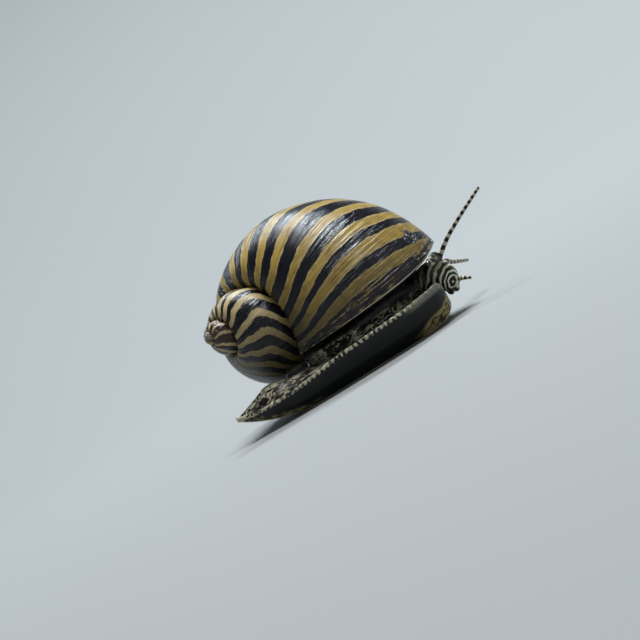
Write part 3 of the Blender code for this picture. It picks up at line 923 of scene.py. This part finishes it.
def skin_relief(points, values):
    """Heights in millimetres: beads on the rim, ridges round the snout and small warts."""
    rim, foot, head, ring = values["rim"], values["foot"], values["head"], values["ring"]
    feeler_mask = values["feeler_mask"]
    beads = np.cos(values["along"] * 2 * math.pi / BEAD_SPACING + 2.0 * noise(points, 2.0, 21))
    height = foot * BEAD_HEIGHT * beads * np.exp(-(rim / BEAD_SPREAD) ** 2)
    warts = noise(points, 0.55, 22) + 0.6 * noise(points, 0.3, 23)
    height += foot * WART_HEIGHT * warts * smooth(rim, 0.0, 0.5)
    height += head * RIDGE_HEIGHT * np.cos(ring * 2 * math.pi) * smooth(ring, 0.3, 1.0)
    folds = noise(points * (1.0, 1.0, 0.25), 0.8, 24)
    height += (1 - foot) * (1 - head) * (1 - feeler_mask) * FOLD_HEIGHT * folds
    height += head * PORE_HEIGHT * noise(points, 0.35, 25)
    bands = np.cos(2 * math.pi * (feeler_bands(values["feeler"]) - 0.3))
    return height - feeler_mask * FEELER_RING_HEIGHT * bands


def reshape(made, kind, **settings):
    """Puts a modifier on an object and takes its result as the new mesh."""
    step = made.modifiers.new(kind.lower(), kind)
    for name, value in settings.items():
        setattr(step, name, value)
    graph = bpy.context.evaluated_depsgraph_get()
    done = bpy.data.meshes.new_from_object(made.evaluated_get(graph))
    made.modifiers.clear()
    old = made.data
    made.data = done
    bpy.data.meshes.remove(old)


def drop_scraps(mesh):
    """Keeps only the largest closed body of a mesh of quads: each point takes the least
    number among its neighbours until none changes, so a body's points share one number."""
    near, far = read_rows(mesh.edges, "vertices", 2, np.int32).T
    faces = read_rows(mesh.loops, "vertex_index", 1, np.int32).reshape(-1, 4)
    points = read_points(mesh)
    label, last = np.arange(len(points)), None
    while last is None or (label != last).any():
        last, label = label, label.copy()
        np.minimum.at(label, near, last[far])
        np.minimum.at(label, far, last[near])
        label = label[label]
    kept = label == np.bincount(label).argmax()
    number = np.cumsum(kept) - 1
    faces = number[faces[kept[faces[:, 0]]]]
    mesh.clear_geometry()
    mesh.from_pydata((points[kept] * MM).tolist(), [], faces.tolist())


def round_tentacles(points):
    """Puts each point near a tentacle at that tentacle's own radius from its middle line."""
    for side in TENTACLES:
        away, middle, out, radius = tentacle_at(points, side, 600)
        radius = radius * round_tip(out.max() - out, TENTACLE_RADIUS[1], 0.05)
        share = smooth(out, 0.25, 0.9) * (away < 2.2 * radius + 0.1)
        target = middle + (points - middle) * (radius / np.maximum(away, 1e-4))[:, None]
        points = points + (target - points) * share[:, None]
    return points


def skin_material(settings):
    """Wet black skin with cream mottling, a beaded rim, head rings and banded tentacles."""
    finish = Finish("Skin", 0.34, 0.10, 0.25, 1.40, 0.30)
    place = finish.place
    black, cream, grey = settings.dark_colour, settings.cream_colour, settings.grey_colour
    slate, mottle, line_colour = settings.slate_colour, settings.mottle_colour, settings.line_colour
    rim, edge, along, foot, head, ring, lips, snout_dots, tail = finish.kept(
        "rim", "edge", "along", "foot", "head", "ring", "lips", "dots", "tail")
    feeler_mask, feeler_band, eye_gap = finish.kept("feeler_mask", "feeler_band", "eye_gap")

    soft = place.noise(600.0, 3.0, 0.6)
    folds = place.stretched(1.0, 1.0, 0.25).noise(1500.0)

    # The foot over its rim is mottled, and most so near the rim. Under it is a dark side, with painted
    # shade: lighter near the rim, darker low down.
    stretched = place.stretched(0.42, 1.0, 1.0)
    worms = finish.shared("Mottling", Place=stretched, Scale=2100.0, Width=0.060)["Mask"]
    dots = place.noise(3600.0).between(0.56, 0.66)
    patches = place.noise(900.0).between(0.35, 0.60)
    beads = (along * (2 * math.pi / BEAD_DOT_SPACING) + place.noise(500.0) * 9.0).sine()
    front = along.between(20.5, 23.5)
    line = rim + beads * 0.05 * (1.0 - front)
    upper = line.between(-0.16, -0.06)
    mottled = (worms | dots * 0.6) * patches * (rim.between(5.5, 2.5) * foot)
    # Painted shade: the dark side is lighter just under the rim, where light from above falls, and slate
    # lower down.
    side = rim.between(-1.6, -0.2).mix(slate, settings.lit_side_colour)

    # The rim's beads are blotches at the tail and run into a pale roll at the front.
    strip = place.node("ShaderNodeCombineXYZ", 0, {"X": along * 1.5, "Y": rim * 2.6})
    blotches = strip.noise(1.0, 3.0, 0.6, 0.5).between(0.50, 0.58)
    bead = beads.shaken(place.noise(1500.0), 2.4).between(-0.3, 0.4) * dots.between(0.9, 0.1)
    bead = along.between(7.0, 10.0).mix(blotches, bead, "FLOAT")
    roll = rim.near(0.05, 0.75, 0.25) * 0.8
    bead = front.mix(bead * line.near(0.08, 0.26, 0.10), roll, "FLOAT")

    # The lower edge has a thin pale line, and a spotted fringe at both ends of the foot.
    fringe = (edge - front * 0.9).between(1.00, 0.55)
    fringe = fringe * (along.between(11.0, 7.0) | along.between(20.0, 23.0))
    spots = stretched.noise(2200.0, 3.0, 0.6).between(0.44, 0.60)
    speckled = spots.mix(settings.horn_colour, settings.fringe_colour)
    low = rim.between(-0.2, -0.5) * foot

    # The head's rings are brightest near the mouth and grey far out.
    rings = (ring.shaken(place.noise(900.0), 1.3) * (2 * math.pi)).cosine()
    rings = rings.between(0.15, 0.55) * head * ring.between(7.8, 5.6)
    inner = ring.between(3.6, 2.4).mix(cream, settings.dot_colour)
    bands = feeler_band.shaken(place.noise(2500.0), 0.25)
    dark_band = (bands * (2 * math.pi)).sine().between(-0.35, 0.05)
    marbled = place.noise(2200.0, 3.0, 0.6).between(0.46, 0.56)
    finish.colour(layered(
        black,
        (soft.between(0.45, 0.8) * 0.3, slate),
        (folds.between(0.52, 0.68) * 0.22, grey),
        (mottled * upper, mottle),
        ((1.0 - upper) * foot, soft.between(0.35, 0.75).mix(side, slate)),
        (bead * foot, front.mix(mottle, settings.roll_colour)),
        (fringe * low, (front * spots).mix(speckled, settings.yellow_colour)),
        (edge.near(0.08, 0.10, 0.04) * low, line_colour),
        (tail * soft.between(0.38, 0.52), line_colour),
        (rings, ring.between(3.0, 6.5).mix(inner, grey)),
        (lips, black),
        (snout_dots, settings.dot_colour),
        (feeler_mask, dark_band.mix(cream, black)),
        (eye_gap.between(1.75, 0.85) * marbled * 0.85, cream),
        (eye_gap.between(0.50, 0.42) * 0.9, cream),
    ))

    grain = finish.shared("Fine grain", Place=place, Scale=4200.0)
    finish.roughness(grain["Value"] * 0.30 + 0.24)
    finish.relief(grain["Height"] + worms * 0.25, 0.00005 * settings.relief, 0.8)
    return finish.made


def make_skin(settings):
    """Foot, neck, head, stalks and tentacles, grown together on one lattice and smoothed."""
    bodies = [
        foot_body(), stalk_body(), mantle_body(),
        tube(oval(*head_frames(), round_angles(110), HEAD_SQUARENESS)),
        limb_body(PALP, PALP_RADIUS), limb_body(STALK_LOBE, STALK_LOBE_RADIUS),
    ]
    x, y, z = HEAD[-1][:3]
    for side in (-1, 1):
        middle = (x + side * 0.5 * (LIP_RADIUS + MOUTH_SLIT), y, z - 0.05)
        bodies.append(ball_body(middle, (0.8 * LIP_RADIUS, LIP_SPAN / 2, 1.2 * LIP_RADIUS)))
    for side in TENTACLES:
        bodies.append(limb_body(tentacle_line(side), TENTACLE_RADIUS))
        root, end = np.array(EYE_STALK_ROOTS[side]), np.array(EYES[side])
        sunk, stop = root - 0.6 * (end - root), end - 0.08 * (end - root)
        bodies.append(limb_body((sunk, (sunk + stop) / 2, stop), EYE_STALK_RADIUS))
    made = put("skin", *together(bodies), skin_material(settings))
    reshape(made, "REMESH", mode="VOXEL", voxel_size=settings.lattice, adaptivity=0.0)
    drop_scraps(made.data)
    reshape(made, "SMOOTH", factor=0.5, iterations=4)
    made.data.shade_smooth()

    points = round_tentacles(read_points(made.data))
    move_points(made.data, points)
    values = skin_values(points)
    height = skin_relief(points, values) * settings.relief
    normals = read_rows(made.data.vertex_normals, "vector", 3).astype(float)
    points = points + normals * height[:, None]
    points[:, 2] = np.maximum(points[:, 2], 0)
    move_points(made.data, points)
    values["feeler_band"] = feeler_bands(values.pop("feeler"))
    keep(made, values)
    return made


# The eyes and the operculum

def eye_material(settings):
    """Glossy black with a cloudy, brownish depth."""
    finish = Finish("Eye", 0.08, 1.0, 0.03)
    cloud = finish.place.noise(3500.0, 3.0, 0.6)
    finish.colour((cloud.between(0.5, 0.8) * 0.5).mix(settings.colour, settings.depth_colour))
    finish.relief(cloud, 0.00001, 0.3)
    return finish.made


def make_eye(side, settings, finish):
    """A ball round the eye's place."""
    radius = settings.radius / MM
    return put(f"eyeball_{side}", *ball_body(EYES[side], radius, 40), finish)


def operculum_material(settings):
    """A horny plate with curved growth lines and paler, worn patches."""
    finish = Finish("Operculum", 0.42, 0.25, 0.2)
    growth, = finish.kept("growth", output="Vector")
    lines = growth.stretched(6.0, 0.4, 0.4).noise(1.0, 3.0, 0.6)
    worn = finish.shared("Mottling", Place=finish.place, Scale=1300.0, Width=0.05)["Mask"]
    skin = lines.between(0.3, 0.7).mix(settings.colour, settings.line_colour)
    finish.colour((worn * 0.25).mix(skin, settings.worn_colour))
    grain = finish.shared("Fine grain", Place=finish.place, Scale=5000.0)["Height"]
    finish.relief(lines + grain * 0.3, 0.00008, 0.9)
    return finish.made


def make_operculum(settings):
    """A half-round plate: rings from the middle of its foot out to its edge and back over
    the top, with growth ridges as circles round one corner."""
    half_long, half_wide = OPERCULUM_HALF
    thick = settings.thickness / MM
    at = round_angles(128)
    under = np.linspace(0.03, 0.9, 16, endpoint=False)
    edge = np.linspace(-math.pi / 2, math.pi / 2, 12)
    shrink = np.concatenate([under, 0.9 + 0.1 * np.cos(edge), under[::-1]])[:, None]
    up = np.concatenate([0 * under, thick / 2 * (1 + np.sin(edge)), 0 * under + thick])[:, None]
    on_top = up > thick / 2
    x = half_long * shrink * np.cos(at)
    y = half_wide * shrink * np.sin(at) * np.where(np.sin(at) > 0, 0.8, 1.0)
    away = np.hypot(x - 0.6 * half_long, y + 0.7 * half_wide)
    ridges = OPERCULUM_RIDGE * np.cos(away * 2 * math.pi / OPERCULUM_RIDGE_SPACING)
    z = up - thick / 2 + (ridges * (1.0 - shrink ** 6) - OPERCULUM_RIDGE) * on_top
    rings = np.stack([x, y, z], axis=-1) @ turning(-OPERCULUM_SLOPE, 0, 0).T
    points, faces = tube(rings + np.array(OPERCULUM_MIDDLE))
    growth = np.stack([away, x, y], axis=-1).reshape(-1, 3)
    growth = np.vstack([growth, growth[0], growth[-1]])
    return put("operculum_plate", points, faces, operculum_material(settings), {"growth": growth})


# The stage

def view_axes():
    """The camera's right, up and backward directions, in the animal's frame."""
    lift, roll = math.radians(CAMERA_LIFT), math.radians(CAMERA_ROLL)
    back = Vector((0, -math.cos(lift), math.sin(lift)))
    up = Vector((0, math.sin(lift), math.cos(lift)))
    along = Vector((1, 0, 0))
    right = along * math.cos(roll) - up * math.sin(roll)
    upward = along * math.sin(roll) + up * math.cos(roll)
    return right, upward, back


def make_camera(settings):
    """A long lens at the photograph's angle."""
    right, upward, back = view_axes()
    lens = bpy.data.cameras.new("camera")
    lens.lens = settings.lens
    lens.sensor_width = 36.0
    lens.clip_start = 0.005
    lens.clip_end = 10.0
    made = bpy.data.objects.new("camera", lens)
    bpy.context.scene.collection.objects.link(made)
    turned = Matrix((right, upward, back)).transposed().to_4x4()
    place = Vector(CAMERA_TARGET) * MM + back * settings.distance
    made.matrix_world = Matrix.Translation(place) @ turned
    bpy.context.scene.camera = made


def make_light(name, toward, distance, size, power, colour=(1, 1, 1)):
    """A soft light, wide along the picture, aimed at the animal from a direction."""
    lamp = bpy.data.lights.new(name, "AREA")
    lamp.shape = "RECTANGLE"
    lamp.size, lamp.size_y = size
    lamp.energy = power
    lamp.color = colour
    made = bpy.data.objects.new(name, lamp)
    bpy.context.scene.collection.objects.link(made)
    away = toward.normalized()
    wide = view_axes()[0]
    high = away.cross(wide).normalized()
    turned = Matrix((high.cross(away), high, away)).transposed().to_4x4()
    made.matrix_world = Matrix.Translation(Vector(CAMERA_TARGET) * MM + away * distance) @ turned


def make_backdrop(settings):
    """A seamless sweep: flat round the animal, and further out the height is the square of
    the distance over a curve's radius, so that the floor turns slowly into a wall."""
    across = np.linspace(-1, 1, BACKDROP_SIDES) * settings.reach
    x, y = np.meshgrid(across, across, indexing="ij")
    away = np.maximum(np.hypot(x, y) - settings.sweep, 0)
    z = away ** 2 / (2 * settings.curve)
    points = np.stack([x, y, z], axis=-1).reshape(-1, 3) / MM
    index = np.arange(x.size).reshape(x.shape)
    faces = np.stack([index[:-1, :-1], index[1:, :-1], index[1:, 1:], index[:-1, 1:]], axis=-1)
    finish = Finish("Backdrop", 0.75, 0.0, 0.1)
    darker = [c * 0.96 for c in settings.floor_colour]
    finish.colour(finish.place.noise(8.0, 3.0).mix(settings.floor_colour, darker))
    put("backdrop", points, (faces.reshape(-1, 4),), finish.made)


# The add-on

def number(name, description, default, **more):
    """A number that can be changed in the panel."""
    return bpy.props.FloatProperty(name=name, description=description, default=default, **more)


def tint(name, description, default):
    """A colour that can be changed in the panel."""
    return bpy.props.FloatVectorProperty(name=name, description=description, default=default,
                                         size=3, min=0.0, max=1.0, subtype="COLOR")


class ShellSettings(bpy.types.PropertyGroup):
    lip_thickness: number("Lip thickness", "Thickness of the shell's wall", 0.00075, min=0.0003,
                          max=0.002, unit="LENGTH", precision=5)
    growth_lines: number("Growth lines", "Depth of the growth lines, 1 as grown", 1.0, min=0.0, max=3.0,
                         subtype="FACTOR")
    dark_colour: tint("Black", "The dark bands", (0.006, 0.0065, 0.010))
    plum_colour: tint("Plum", "Streaks in the dark bands", (0.020, 0.014, 0.022))
    red_colour: tint("Red brown", "The dark bands of the first whorls", (0.075, 0.030, 0.022))
    gold_colour: tint("Gold", "The light bands of the last whorl", (0.42, 0.285, 0.055))
    brown_colour: tint("Brown", "Patches and streaks in the light bands", (0.20, 0.116, 0.028))
    # Olive is the real band just inside the lip, and also the painted shade on the shell's low side and by
    # the inner lip.
    olive_and_shade_colour: tint("Olive", "The light bands by the inner lip and low down", (0.062, 0.046, 0.016))
    edge_colour: tint("Pale gold", "The borders of the light bands", (0.54, 0.41, 0.17))
    cream_colour: tint("Cream", "The light bands of the older whorls", (0.52, 0.41, 0.20))
    # Pale is also used for the painted glints in the worn spot.
    pale_colour: tint("Pale", "The lip's edge and flecks", (0.62, 0.60, 0.50))
    chalk_colour: tint("Chalk", "The worn apex", (0.16, 0.14, 0.12))


class SkinSettings(bpy.types.PropertyGroup):
    lattice: number("Lattice", "Size of the lattice that the skin is grown on", 0.00012,
                    min=0.00008, max=0.0005, unit="LENGTH", precision=5)
    relief: number("Relief", "Height of beads, ridges and warts, 1 as in life", 1.0, min=0.0, max=3.0,
                   subtype="FACTOR")
    dark_colour: tint("Black", "The skin's ground colour", (0.0055, 0.0055, 0.006))
    slate_colour: tint("Slate", "The smooth side of the foot", (0.0070, 0.0082, 0.0086))
    grey_colour: tint("Grey", "The paler side of the foot and outer rings", (0.085, 0.085, 0.070))
    cream_colour: tint("Cream", "Rings and tentacles", (0.50, 0.46, 0.31))
    dot_colour: tint("Dots", "Dots and inner rings beside the mouth", (0.70, 0.66, 0.50))
    mottle_colour: tint("Mottling", "Blotches and beads on the foot", (0.56, 0.51, 0.36))
    fringe_colour: tint("Fringe", "Spots at the foot's lower edge", (0.24, 0.20, 0.10))
    horn_colour: tint("Brown", "Between those spots", (0.035, 0.028, 0.013))
    yellow_colour: tint("Yellow", "Those spots at the front of the foot", (0.33, 0.26, 0.095))
    line_colour: tint("Line", "The line at the foot's lower edge and the tail's tip", (0.50, 0.46, 0.34))
    # The side's lighter upper part is painted light from above.
    lit_side_colour: tint("Side", "The upper part of the foot's side", (0.016, 0.018, 0.018))
    roll_colour: tint("Roll", "The rolled rim at the front of the foot", (0.23, 0.22, 0.17))


class EyeSettings(bpy.types.PropertyGroup):
    radius: number("Radius", "The eyeball's radius", 0.00033, min=0.0002, max=0.0006, unit="LENGTH",
                   precision=5)
    colour: tint("Black", "The eye", (0.004, 0.004, 0.005))
    depth_colour: tint("Depth", "Clouding in the eye", (0.018, 0.013, 0.010))


class OperculumSettings(bpy.types.PropertyGroup):
    thickness: number("Thickness", "The plate's thickness", OPERCULUM_THICKNESS * MM, min=0.0003,
                      max=0.001, unit="LENGTH", precision=5)
    colour: tint("Horn", "The plate", (0.022, 0.016, 0.013))
    line_colour: tint("Lines", "Its growth lines", (0.055, 0.040, 0.030))
    worn_colour: tint("Worn", "Its worn places", (0.12, 0.10, 0.08))


class StageSettings(bpy.types.PropertyGroup):
    distance: number("Camera distance", "From the animal's middle", 0.18, min=0.05, max=2.0, unit="LENGTH")
    lens: number("Lens", "The camera's focal length, in mm", 100.0, min=20.0, max=300.0,
                 subtype="DISTANCE_CAMERA")
    light: number("Light", "Strength of all the lights, 1 as set", 1.0, min=0.0, max=10.0, subtype="FACTOR")
    sweep: number("Sweep", "How far the floor lies flat before it curves up", 0.14, min=0.05, max=2.0,
                  unit="LENGTH")
    curve: number("Curve", "The radius of the curve from floor to wall", 0.30, min=0.05, max=2.0,
                  unit="LENGTH")
    reach: number("Reach", "How far the floor and wall go out", 0.75, min=0.2, max=5.0, unit="LENGTH")
    floor_colour: tint("Floor", "The floor and the sweep", (0.31, 0.315, 0.305))


class SNAIL_OT_shell(bpy.types.Operator):
    """Build the coiled shell with its lip"""
    bl_idname = "snail.shell"
    bl_label = "Shell"

    def execute(self, context):
        made = make_shell(context.scene.snail_shell)
        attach(made, "root")
        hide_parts("shell")
        return {"FINISHED"}


class SNAIL_OT_skin(bpy.types.Operator):
    """Build the foot, neck, head and tentacles as one skin"""
    bl_idname = "snail.skin"
    bl_label = "Skin"

    def execute(self, context):
        made = make_skin(context.scene.snail_skin)
        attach(made, "root")
        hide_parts(*FLESH_NODES)
        return {"FINISHED"}


class SNAIL_OT_eyes(bpy.types.Operator):
    """Build both eyes"""
    bl_idname = "snail.eyes"
    bl_label = "Eyes"

    def execute(self, context):
        settings = context.scene.snail_eyes
        finish = eye_material(settings)
        for side in EYES:
            made = make_eye(side, settings, finish)
            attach(made, "root")
            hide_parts(f"eye_{side}")
        return {"FINISHED"}


class SNAIL_OT_operculum(bpy.types.Operator):
    """Build the plate on the back of the foot"""
    bl_idname = "snail.operculum"
    bl_label = "Operculum"

    def execute(self, context):
        made = make_operculum(context.scene.snail_operculum)
        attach(made, "root")
        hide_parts("operculum")
        return {"FINISHED"}


class SNAIL_OT_stage(bpy.types.Operator):
    """Build the floor, the lights and the camera"""
    bl_idname = "snail.stage"
    bl_label = "Stage"

    def execute(self, context):
        settings = context.scene.snail_stage
        make_backdrop(settings)
        make_camera(settings)
        right, upward, back = view_axes()
        power = settings.light
        make_light("key", upward - right * 0.35, 0.50, (0.19, 0.14), 2.5 * power, (0.92, 0.96, 1.0))
        make_light("rim", upward * 0.85 - right * 0.40 - back * 0.48, 0.50, (0.18, 0.07), 2.4 * power,
                   (0.80, 0.90, 1.0))
        make_light("fill", back * 0.8 - right * 0.4 + upward * 0.5, 0.40, (0.3, 0.25), 0.05 * power)
        make_light("side", Vector((0.8, -0.3, 0.5)), 0.45, (0.2, 0.2), 0.06 * power)
        world = bpy.data.worlds.new("studio")
        world.use_nodes = True
        sky = world.node_tree.nodes["Background"]
        sky.inputs["Color"].default_value = (0.86, 0.92, 1.0, 1)
        sky.inputs["Strength"].default_value = 0.035 * power
        context.scene.world = world
        context.scene.view_settings.view_transform = "Standard"
        return {"FINISHED"}


class SNAIL_PT_panel(bpy.types.Panel):
    """Lists the snail's pieces"""
    bl_label = "Nerite snail"
    bl_idname = "SNAIL_PT_panel"
    bl_space_type = "VIEW_3D"
    bl_region_type = "UI"
    bl_category = "Snail"

    def draw(self, context):
        for name, _ in SETTINGS:
            settings = getattr(context.scene, name)
            box = self.layout.box()
            box.operator(name.replace("_", "."))
            for label in settings.__annotations__:
                box.prop(settings, label)


CLASSES = (
    ShellSettings, SkinSettings, EyeSettings, OperculumSettings, StageSettings, SNAIL_OT_shell,
    SNAIL_OT_skin, SNAIL_OT_eyes, SNAIL_OT_operculum, SNAIL_OT_stage, SNAIL_PT_panel,
)
SETTINGS = (
    ("snail_shell", ShellSettings), ("snail_skin", SkinSettings), ("snail_eyes", EyeSettings),
    ("snail_operculum", OperculumSettings), ("snail_stage", StageSettings),
)


def register():
    for made in CLASSES:
        bpy.utils.register_class(made)
    for name, made in SETTINGS:
        setattr(bpy.types.Scene, name, bpy.props.PointerProperty(type=made))


def unregister():
    for name, _ in SETTINGS:
        delattr(bpy.types.Scene, name)
    for made in reversed(CLASSES):
        bpy.utils.unregister_class(made)


def main():
    """Builds every piece and the stage."""
    register()
    bpy.ops.snail.shell()
    bpy.ops.snail.skin()
    bpy.ops.snail.eyes()
    bpy.ops.snail.operculum()
    bpy.ops.snail.stage()


if __name__ == "__main__":
    main()
